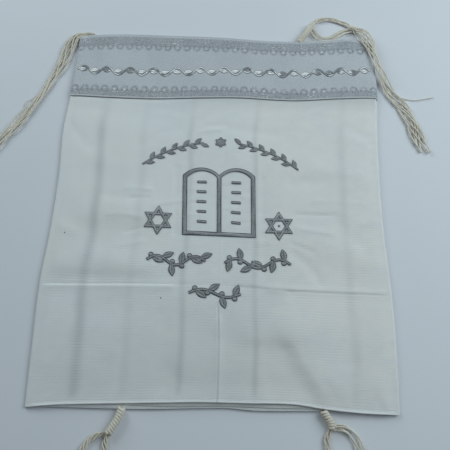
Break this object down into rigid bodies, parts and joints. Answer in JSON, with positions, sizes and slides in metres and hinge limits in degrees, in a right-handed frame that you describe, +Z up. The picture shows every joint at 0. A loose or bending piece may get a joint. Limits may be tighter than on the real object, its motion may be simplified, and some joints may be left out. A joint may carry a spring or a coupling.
{
  "type": "folded tallit prayer shawl",
  "caption": "Small white cotton prayer shawl folded in a flat letter-folded packet, with a woven silver neck band, embroidered tablets and stars, and a corner tassel at each corner.",
  "frame": {"origin": "on the underside, under the middle of the folded cloth, where it rests", "axes": "+X across the folded cloth to the wearer-side right of the front, +Y from the hem to the neck edge with its band, +Z up out of the embroidered front"},
  "size_m": [0.5383, 0.7029, 0.0116],
  "materials": {
    "cloth": "matt white plain-weave cotton with fine crosswise ribs",
    "atarah": "pale grey woven band with darker scalloped borders and shiny silver thread",
    "embroidery": "dark grey and silver satin stitch",
    "tzitzit": "cream plied wool yarn"
  },
  "bodies": {
    "root": {"front_panel": "cloth", "folded_flaps": "cloth", "atarah_band": "atarah", "tablets": "embroidery", "star_left": "embroidery", "star_right": "embroidery", "spray_left": "embroidery", "spray_right": "embroidery", "rosette": "embroidery", "vine_left": "embroidery", "vine_right": "embroidery", "vine_low": "embroidery", "tzitzit_top_left": "tzitzit", "tzitzit_top_right": "tzitzit", "tzitzit_bottom_left": "tzitzit", "tzitzit_bottom_right": "tzitzit"}
  },
  "joints": []
}
